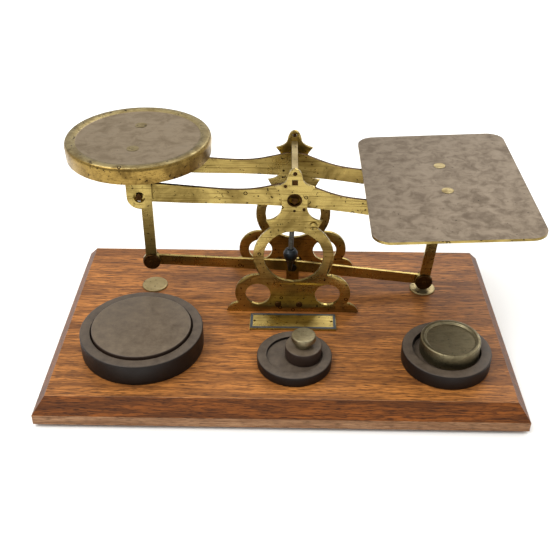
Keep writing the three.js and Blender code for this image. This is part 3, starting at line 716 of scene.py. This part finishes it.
def fastener_tree(head: Head) -> bpy.types.NodeTree:
    """A node tree that sets one fastener on each point, with its head's top or seat at the point.

    Args:
        head: Slotted and countersunk, plain and flush, or domed.

    Returns:
        The tree.
    """
    made = bpy.data.node_groups.get(f"{head.value} fasteners")
    if made:
        return made
    tree = bpy.data.node_groups.new(f"{head.value} fasteners", "GeometryNodeTree")
    tree.interface.new_socket("Geometry", in_out="INPUT", socket_type="NodeSocketGeometry")
    for name in ("Head radius", "Head height", "Shank radius", "Length"):
        tree.interface.new_socket(name, in_out="INPUT", socket_type="NodeSocketFloat")
    tree.interface.new_socket("Lean", in_out="INPUT", socket_type="NodeSocketVector")
    tree.interface.new_socket("Seed", in_out="INPUT", socket_type="NodeSocketInt")
    tree.interface.new_socket("Material", in_out="INPUT", socket_type="NodeSocketMaterial")
    tree.interface.new_socket("Geometry", in_out="OUTPUT", socket_type="NodeSocketGeometry")
    given = add_node(tree, "NodeGroupInput").outputs
    half = add_node(tree, "ShaderNodeMath", {0: given["Length"], 1: -0.5}, operation="MULTIPLY")
    down = add_node(tree, "ShaderNodeCombineXYZ", {"Z": half.outputs[0]})
    shank = add_node(
        tree,
        "GeometryNodeMeshCylinder",
        {"Vertices": 24, "Radius": given["Shank radius"], "Depth": given["Length"]},
    )
    sunk = add_node(
        tree, "GeometryNodeTransform", {"Geometry": shank.outputs["Mesh"], "Translation": down.outputs[0]}
    )
    if head is not Head.DOMED:
        cone = add_node(
            tree,
            "GeometryNodeMeshCone",
            {
                "Vertices": 32,
                "Radius Top": given["Head radius"],
                "Radius Bottom": given["Shank radius"],
                "Depth": given["Head height"],
            },
        )
        drop = add_node(tree, "ShaderNodeMath", {0: given["Head height"], 1: -1.0}, operation="MULTIPLY")
        under = add_node(tree, "ShaderNodeCombineXYZ", {"Z": drop.outputs[0]})
        seated = add_node(
            tree, "GeometryNodeTransform", {"Geometry": cone.outputs["Mesh"], "Translation": under.outputs[0]}
        )
        width = add_node(tree, "ShaderNodeMath", {0: given["Head radius"], 1: 2.4}, operation="MULTIPLY")
        narrow = add_node(tree, "ShaderNodeMath", {0: given["Head radius"], 1: 0.28}, operation="MULTIPLY")
        slot_size = add_node(
            tree,
            "ShaderNodeCombineXYZ",
            {"X": width.outputs[0], "Y": narrow.outputs[0], "Z": given["Head height"]},
        )
        tool = add_node(tree, "GeometryNodeMeshCube", {"Size": slot_size.outputs[0]}).outputs["Mesh"]
    else:
        ball = add_node(
            tree, "GeometryNodeMeshUVSphere", {"Segments": 32, "Rings": 16, "Radius": given["Head radius"]}
        )
        squash = add_node(
            tree, "ShaderNodeMath", {0: given["Head height"], 1: given["Head radius"]}, operation="DIVIDE"
        )
        flatten = add_node(tree, "ShaderNodeCombineXYZ", {"X": 1.0, "Y": 1.0, "Z": squash.outputs[0]})
        seated = add_node(
            tree, "GeometryNodeTransform", {"Geometry": ball.outputs["Mesh"], "Scale": flatten.outputs[0]}
        )
        size = add_node(tree, "ShaderNodeMath", {0: given["Head radius"], 1: 4.0}, operation="MULTIPLY")
        side = add_node(tree, "ShaderNodeMath", {0: given["Head radius"], 1: -2.0}, operation="MULTIPLY")
        below = add_node(tree, "ShaderNodeCombineXYZ", {"Z": side.outputs[0]})
        block = add_node(
            tree,
            "ShaderNodeCombineXYZ",
            {"X": size.outputs[0], "Y": size.outputs[0], "Z": size.outputs[0]},
        )
        cube = add_node(tree, "GeometryNodeMeshCube", {"Size": block.outputs[0]})
        tool = add_node(
            tree, "GeometryNodeTransform", {"Geometry": cube.outputs["Mesh"], "Translation": below.outputs[0]}
        ).outputs[0]
    top = seated.outputs[0]
    if head is not Head.FLUSH:
        top = add_node(
            tree,
            "GeometryNodeMeshBoolean",
            {"Mesh 1": top, "Mesh 2": tool},
            operation="DIFFERENCE",
            solver="EXACT",
        ).outputs["Mesh"]
    whole = add_node(tree, "GeometryNodeMeshBoolean", {"Mesh 2": top}, operation="UNION", solver="EXACT")
    tree.links.new(sunk.outputs[0], whole.inputs["Mesh 2"])
    turn = add_node(
        tree,
        "FunctionNodeRandomValue",
        {0: (0.0, 0.0, 0.0), 1: (0.0, 0.0, math.pi), "Seed": given["Seed"]},
        data_type="FLOAT_VECTOR",
    )
    spread = add_node(tree, "GeometryNodeMeshToPoints", {"Mesh": given["Geometry"]})
    placed = add_node(
        tree,
        "GeometryNodeInstanceOnPoints",
        {"Points": spread.outputs[0], "Instance": whole.outputs["Mesh"], "Rotation": given["Lean"]},
    )
    twisted = add_node(
        tree,
        "GeometryNodeRotateInstances",
        {"Instances": placed.outputs[0], "Rotation": turn.outputs[0], "Local Space": True},
    )
    solid = add_node(tree, "GeometryNodeRealizeInstances", {"Geometry": twisted.outputs[0]})
    dressed = add_node(
        tree, "GeometryNodeSetMaterial", {"Geometry": solid.outputs[0], "Material": given["Material"]}
    )
    add_node(tree, "NodeGroupOutput", {"Geometry": dressed.outputs[0]})
    return tree


@dataclass
class FastenerSet:
    """Screws or rivets of one size on one body."""

    name: str
    nodes: Sequence[str]
    head: Head
    finish: Finishes
    head_radius_mm: float
    head_height_mm: float
    shank_radius_mm: float
    length_mm: float
    toward: Vector = field(default_factory=lambda: Vector((0, 0, 1)))
    seed: int = 4
    proud_mm: float = 0.0

    def build(self) -> bpy.types.Object:
        """Set every fastener of the set and return them as one piece."""
        height = self.head_height_mm * MM if self.head is Head.DOMED else 0.0
        tops = []
        for node in self.nodes:
            low, high = (Vector(corner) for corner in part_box(node))
            middle = (low + high) / 2
            reach = abs((high - low).dot(self.toward)) / 2
            tops.append(middle + self.toward * (reach - height + self.proud_mm * MM))
        mesh = bpy.data.meshes.new(self.name)
        mesh.from_pydata([tuple(top) for top in tops], [], [])
        piece = link(self.name, mesh)
        lean = self.toward.to_track_quat("Z", "Y").to_euler()
        run_tree(
            piece,
            fastener_tree(self.head),
            {
                "Head radius": self.head_radius_mm * MM,
                "Head height": self.head_height_mm * MM,
                "Shank radius": self.shank_radius_mm * MM,
                "Length": self.length_mm * MM,
                "Lean": tuple(lean),
                "Seed": self.seed,
                "Material": self.finish.material,
            },
        )
        return stand_for(piece, *self.nodes)


def dress_faces(
    piece: bpy.types.Object, finish: Finishes, chosen: Callable[[bpy.types.MeshPolygon], bool]
) -> None:
    """Give a second finish to some of a piece's faces.

    Args:
        piece: The piece.
        finish: The second finish.
        chosen: Whether a face, given to it, gets the second finish.
    """
    piece.data.materials.append(finish.material)
    last = len(piece.data.materials) - 1
    for face in piece.data.polygons:
        if chosen(face):
            face.material_index = last


# ------------------------------------------------------------------------ sub-assemblies


@dataclass
class BoardAndCups:
    """The oak board with its felt, the weight cups and the stops."""

    edge_mm: float = 1.1
    foot_mm: float = 5.5
    painted_highlight_slopes: tuple[float, float] = (0.05, 0.97)
    cup_edge_mm: float = 0.9

    def cup(self, node: str, rim_mm: float, depth_mm: float) -> None:
        """Turn a cup.

        Args:
            node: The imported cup.
            rim_mm: The width of its rim.
            depth_mm: How deep its recess is.
        """
        low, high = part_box(node)
        radius = (high[0] - low[0]) / 2 / MM
        height = (high[2] - low[2]) / MM
        floor = height - depth_mm
        recess = radius - rim_mm
        edge = self.cup_edge_mm
        turned(
            node,
            [
                (0, 0, 0), (radius - 0.2, 0, 0.3), (radius, 1.2, 0.8), (radius, height, edge),
                (recess, height, 0.4), (recess, floor, 0.5), (0, floor, 0),
            ],
            Finishes.COMPOSITION,
        )

    def stop(self, node: str) -> None:
        """Turn a stop: a low button with a spigot in the board."""
        low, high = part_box(node)
        radius = (high[0] - low[0]) / 2 / MM
        height = (high[2] - low[2]) / MM
        turned(
            node,
            [
                (0, 0, 0), (1.5, 0, 0), (1.5, height - 1.1, 0), (radius, height - 1.1, 0.1),
                (radius, height - 0.35, 0.3), (radius - 0.7, height, 0.5), (0, height, 0),
            ],
            Finishes.PALE,
            facets=64,
        )

    def build(self) -> None:
        """Build the board and everything that stands on it, apart from the mechanism."""
        board = rounded_copy("base_board", self.edge_mm, Finishes.OAK, steps=3)
        low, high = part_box("base_board")
        arris = high[2] - 1.3 * self.edge_mm * MM
        foot = low[2] + self.foot_mm * MM
        lowest, highest = self.painted_highlight_slopes
        # Painted shade: faces above the foot that do not face up get the darker oak.
        dress_faces(board, Finishes.OAK_EDGE_SHADE, lambda face: face.normal.z < LEVEL and face.center.z > foot)
        # Painted highlight: the rounding along the top edges gets the pale oak.
        dress_faces(
            board,
            Finishes.OAK_PALE_HIGHLIGHT,
            lambda face: lowest < face.normal.z < highest and face.center.z > arris,
        )
        # The foot of the board is painted paler too.
        dress_faces(board, Finishes.OAK_PALE_HIGHLIGHT, lambda face: face.center.z <= foot)
        # The felt, painted near-black as the shadow under the board.
        rounded_copy("felt_pad", 0.3, Finishes.FELT_PAINTED_SHADOW)
        self.cup("weight_cup_left", 5.3, 4.6)
        self.cup("weight_cup_middle", 4.9, 1.5)
        self.cup("weight_cup_right", 5.4, 3.2)
        self.stop("stop_left")
        self.stop("stop_right")
        cups = ["cup_screw_left", "cup_screw_middle", "cup_screw_right"]
        FastenerSet(
            "cup_screws",
            cups,
            Head.COUNTERSUNK,
            Finishes.STEEL,
            head_radius_mm=3.1,
            head_height_mm=1.6,
            shank_radius_mm=1.4,
            length_mm=12.0,
        ).build()


@dataclass
class Uprights:
    """The two fretted plates, what ties them and what holds them down."""

    edge_mm: float = 0.22
    border_mm: tuple[float, float] = (0.35, 1.7)
    border_height_mm: float = 0.08

    def nameplate_border(self) -> None:
        """Lay a dark enamelled line just inside the edge of the nameplate, which is left blank."""
        low, high = (Vector(corner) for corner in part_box("nameplate"))
        middle = (low + high) / 2
        rings = []
        for inset in self.border_mm:
            half = (high - low) / 2 - Vector((inset, inset, 0)) * MM
            rings.append([(x * half.x, y * half.y) for x, y in ((-1, -1), (1, -1), (1, 1), (-1, 1))])
        levels = (high.z, high.z + self.border_height_mm * MM)
        spots = [(middle.x + x, middle.y + y, z) for z in levels for ring in rings for x, y in ring]
        faces = []
        for i in range(4):  # points 0 to 3 and 4 to 7 are the outer and inner rings below, 8 to 15 above
            j = (i + 1) % 4
            faces += [
                (8 + i, 8 + j, 12 + j, 12 + i),
                (i, 4 + i, 4 + j, j),
                (i, j, 8 + j, 8 + i),
                (4 + j, 4 + i, 12 + i, 12 + j),
            ]
        mesh = bpy.data.meshes.new("nameplate_border")
        mesh.from_pydata(spots, [], faces)
        mesh.materials.append(Finishes.ENAMEL.material)
        border = settle(link("nameplate_border", mesh), outward=True)
        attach(border, BODY_OF["nameplate"])
        LOG.info("%s is laid", border.name)

    def build(self) -> None:
        """Build the plates and their fixings."""
        for end in ("front", "rear"):
            rounded_copy(f"frame_plate_{end}", self.edge_mm, Finishes.BRASS, merge_flats=False)
            rounded_copy(f"foot_bracket_{end}", 0.15, Finishes.BRASS)
            rounded_copy(f"hub_bearing_{end}", 0.1, Finishes.BROWNED)
        bar = rounded_copy("top_spacer_bar", 0.25, Finishes.PALE)
        dress_faces(bar, Finishes.BROWNED, lambda face: abs(face.normal.y) > LEVEL)
        for node in ("finial_pin_front", "finial_pin_rear", "plate_pin_1", "plate_pin_2"):
            rounded_copy(node, 0.1, Finishes.BROWNED)
        rounded_copy("shoulder_screw", 0.12, Finishes.BRASS)
        rounded_copy("stay_post", 0.2, Finishes.BRASS)
        rounded_copy("stay_pivot_pin", 0.2, Finishes.STEEL)
        rounded_copy("nameplate", 0.12, Finishes.BRASS)
        self.nameplate_border()
        wood_screws = [f"foot_screw_{end}_{i}" for end in ("front", "rear") for i in (1, 2)]
        FastenerSet(
            "wood_screws",
            [*wood_screws, "stay_post_screw"],
            Head.COUNTERSUNK,
            Finishes.STEEL,
            head_radius_mm=2.3,
            head_height_mm=1.3,
            shank_radius_mm=1.1,
            length_mm=9.0,
            seed=7,
        ).build()
        rivets = [f"foot_rivet_{end}_{i}" for end in ("front", "rear") for i in (1, 2)]
        FastenerSet(
            "foot_rivets",
            rivets,
            Head.DOMED,
            Finishes.BROWNED,
            head_radius_mm=1.8,
            head_height_mm=0.7,
            shank_radius_mm=1.0,
            length_mm=3.0,
            toward=Vector((0, -1, 0)),
        ).build()


@dataclass
class Beam:
    """The beam's two plates with their knives, and the pointer with its bob."""

    edge_mm: float = 0.22

    def build(self) -> None:
        """Build the beam."""
        for end in ("front", "rear"):
            plate = rounded_copy(f"beam_plate_{end}", self.edge_mm, Finishes.BRASS)
            dress_faces(plate, Finishes.BROWNED, lambda face: abs(face.normal.y) < EDGE_ON)
        for side in ("left", "right"):
            rounded_copy(f"end_knife_{side}", 0.06, Finishes.BROWNED)
        rounded_copy("centre_knife", 0.06, Finishes.BROWNED)
        rounded_copy("pointer_rod", 0.12, Finishes.GREY_STEEL)
        rounded_copy("gravity_bob", 0.2, Finishes.STEEL)


@dataclass
class Supports:
    """The two hanging supports: yokes, legs, pins, the round pan and the letter plate; and the stay below."""

    rim_mm: float = 6.0
    rim_top_slope: float = 0.6
    edge_slope: float = 0.5

    def round_pan(self) -> None:
        """Turn the round pan: a dull face inside a raised, rubbed rim."""
        low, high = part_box("round_pan")
        radius = (high[0] - low[0]) / 2 / MM
        height = (high[2] - low[2]) / MM
        face = radius - self.rim_mm
        pan = turned(
            "round_pan",
            [
                (0, height - 2, 0), (radius - 2.2, height - 2, 0.8), (radius - 1.1, height - 3.2, 0.8),
                (radius - 1.35, 0, 0), (radius - 0.35, 0, 0.1), (radius, height - 1.8, 1.4),
                (radius - 0.9, height - 0.25, 0.8), (radius - 3.4, height, 1.2),
                (face + 0.5, height - 0.75, 0.6), (face, height - 1, 0.4), (0, height - 1, 0),
            ],
            Finishes.DULLED,
            facets=128,
        )
        middle = centre_of("round_pan")
        limit = (face + 0.3) * MM

        def in_rim(polygon: bpy.types.MeshPolygon) -> bool:
            """Whether a face lies outside the dull middle."""
            return math.hypot(polygon.center.x - middle.x, polygon.center.y - middle.y) > limit

        dress_faces(pan, Finishes.RUBBED, in_rim)
        dress_faces(pan, Finishes.TARNISHED, lambda f: f.normal.z > self.rim_top_slope and in_rim(f))

    def build(self) -> None:
        """Build both supports and the stay."""
        for side in ("left", "right"):
            rounded_copy(f"yoke_{side}", 0.22, Finishes.BRASS)
            rounded_copy(f"leg_{side}", 0.18, Finishes.BRASS)
            rounded_copy(f"leg_pin_{side}", 0.15, Finishes.BROWNED)
        self.round_pan()
        plate = rounded_copy("letter_plate", 0.35, Finishes.HANDLED)
        dress_faces(plate, Finishes.BRASS, lambda f: abs(f.normal.z) < self.edge_slope)
        rounded_copy("stay_bar", 0.2, Finishes.BRASS)
        lean = Vector(frame_normal("letter_plate_face"))
        for side, toward in (("left", Vector((0, 0, 1))), ("right", lean)):
            rivets = [f"pan_rivet_{side}_{place}" for place in ("front", "rear")]
            FastenerSet(
                f"pan_rivets_{side}",
                rivets,
                Head.FLUSH,
                Finishes.TARNISHED,
                head_radius_mm=3.1,
                head_height_mm=0.8,
                shank_radius_mm=1.6,
                length_mm=2.4,
                toward=toward,
                proud_mm=0.12,
            ).build()


def frame_normal(mount: str) -> list[float]:
    """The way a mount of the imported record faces."""
    return next(m["axis"] for m in frame["record"]["mounts"] if m["name"] == mount)


@dataclass
class Weights:
    """The loose weights."""

    def build(self) -> None:
        """Turn the four weights."""
        turned(
            "weight_4_oz",
            [(0, 0, 0), (25, 0, 0.3), (25.5, 0.5, 0.3), (25.5, 6.1, 0.8), (0, 6.1, 0)],
            Finishes.JAPANNED,
        )
        turned(
            "weight_2_oz",
            [
                (0, 0, 0), (14.2, 0, 0.3), (15, 0.8, 0.4), (15, 9.5, 0.9), (12.9, 9.5, 0.5),
                (12.3, 8.4, 0.5), (0, 8.4, 0),
            ],
            Finishes.OLIVE,
        )
        turned(
            "weight_half_oz",
            [(0, 0, 0), (8.9, 0, 0.2), (9.2, 0.4, 0.2), (9.2, 7.2, 0.7), (0, 7.2, 0)],
            Finishes.JAPANNED,
            facets=64,
        )
        turned(
            "weight_quarter_oz",
            [
                (0, 0, 0), (4.4, 0, 0.1), (4.4, 2.9, 0.3), (6.1, 3.3, 0.3), (6.1, 6.4, 0.8), (0, 6.4, 0),
            ],
            Finishes.OLIVE,
            facets=64,
        )


# ------------------------------------------------------------------------ the studio


@dataclass
class Studio:
    """Paper floor, soft light and the camera."""

    place_mm: tuple[float, float, float] = (0.466, -360.906, 287.97)
    yaw: float = math.radians(-0.7086)
    pitch: float = math.radians(34.258)
    roll: float = math.radians(0.3538)
    lens_mm: float = 54.11
    sensor_mm: float = 36.0
    floor_half: float = 4.0
    aim: tuple[float, float, float] = (0.0, 0.0, 0.04)

    def camera(self) -> None:
        """Set up the camera."""
        data = bpy.data.cameras.new("camera")
        data.lens = self.lens_mm
        data.sensor_width = self.sensor_mm
        data.clip_start = 0.01
        camera = bpy.data.objects.new("camera", data)
        bpy.context.scene.collection.objects.link(camera)
        ahead = Vector((
            math.sin(self.yaw) * math.cos(self.pitch),
            math.cos(self.yaw) * math.cos(self.pitch),
            -math.sin(self.pitch),
        ))
        right = Vector((math.cos(self.yaw), -math.sin(self.yaw), 0))
        up = right.cross(ahead)
        across = right * math.cos(self.roll) + up * math.sin(self.roll)
        upward = up * math.cos(self.roll) - right * math.sin(self.roll)
        turn = Matrix((across, upward, -ahead)).transposed()
        camera.matrix_world = Matrix.Translation(Vector(self.place_mm) * MM) @ turn.to_4x4()
        bpy.context.scene.camera = camera

    def floor(self) -> None:
        """Lay the paper floor."""
        mesh = bpy.data.meshes.new("floor")
        half = self.floor_half
        corners = [(-half, -half, 0), (half, -half, 0), (half, half, 0), (-half, half, 0)]
        mesh.from_pydata(corners, [], [(0, 1, 2, 3)])
        mesh.materials.append(Finishes.PAPER.material)
        link("floor", mesh)

    def lamp(self, name: str, place: tuple[float, float, float], size: float, watts: float) -> None:
        """Hang a square softbox that points at the scale.

        Args:
            name: The lamp's name.
            place: Where it hangs, in metres.
            size: The length of its side, in metres.
            watts: Its power.
        """
        data = bpy.data.lights.new(name, "AREA")
        data.energy = watts
        data.size = size
        lamp = bpy.data.objects.new(name, data)
        bpy.context.scene.collection.objects.link(lamp)
        lamp.location = place
        lamp.rotation_euler = (Vector(place) - Vector(self.aim)).to_track_quat("Z", "Y").to_euler()

    def sky(self) -> None:
        """Fill the room with soft white light, dimmer towards the user's side."""
        world = bpy.data.worlds.new("studio")
        bpy.context.scene.world = world
        world.use_nodes = True
        tree = world.node_tree
        tree.nodes.clear()
        way = add_node(tree, "ShaderNodeTexCoord").outputs["Generated"]
        parts = add_node(tree, "ShaderNodeSeparateXYZ", {0: way})
        rise = add_node(
            tree, "ShaderNodeMapRange", {0: parts.outputs["Z"], 1: 0.0, 2: 0.8, 3: 0.5, 4: 1.5}
        )
        depth = add_node(
            tree, "ShaderNodeMapRange", {0: parts.outputs["Y"], 1: -0.9, 2: 0.1, 3: 0.45, 4: 1.0}
        )
        both = add_node(
            tree, "ShaderNodeMath", {0: rise.outputs[0], 1: depth.outputs[0]}, operation="MULTIPLY"
        )
        light = add_node(
            tree,
            "ShaderNodeBackground",
            {"Color": (1.0, 0.99, 0.97, 1.0), "Strength": both.outputs[0]},
        )
        add_node(tree, "ShaderNodeOutputWorld", {"Surface": light.outputs[0]})

    def build(self) -> None:
        """Set up the whole studio."""
        self.camera()
        self.floor()
        self.lamp("key softbox", (-0.5, -0.35, 0.9), 0.7, 7.0)
        self.lamp("rear softbox", (0.35, 0.7, 0.8), 0.6, 4.0)
        self.sky()
        bpy.context.scene.view_settings.view_transform = "Standard"


def main() -> None:
    """Build the scale and its studio, and log each new piece as it is made."""
    logging.basicConfig(level=logging.INFO, format="%(name)s: %(message)s")
    Studio().build()
    for assembly in (BoardAndCups(), Uprights(), Beam(), Supports(), Weights()):
        assembly.build()
        LOG.info("%s is finished", type(assembly).__name__)


if __name__ == "__main__":
    main()
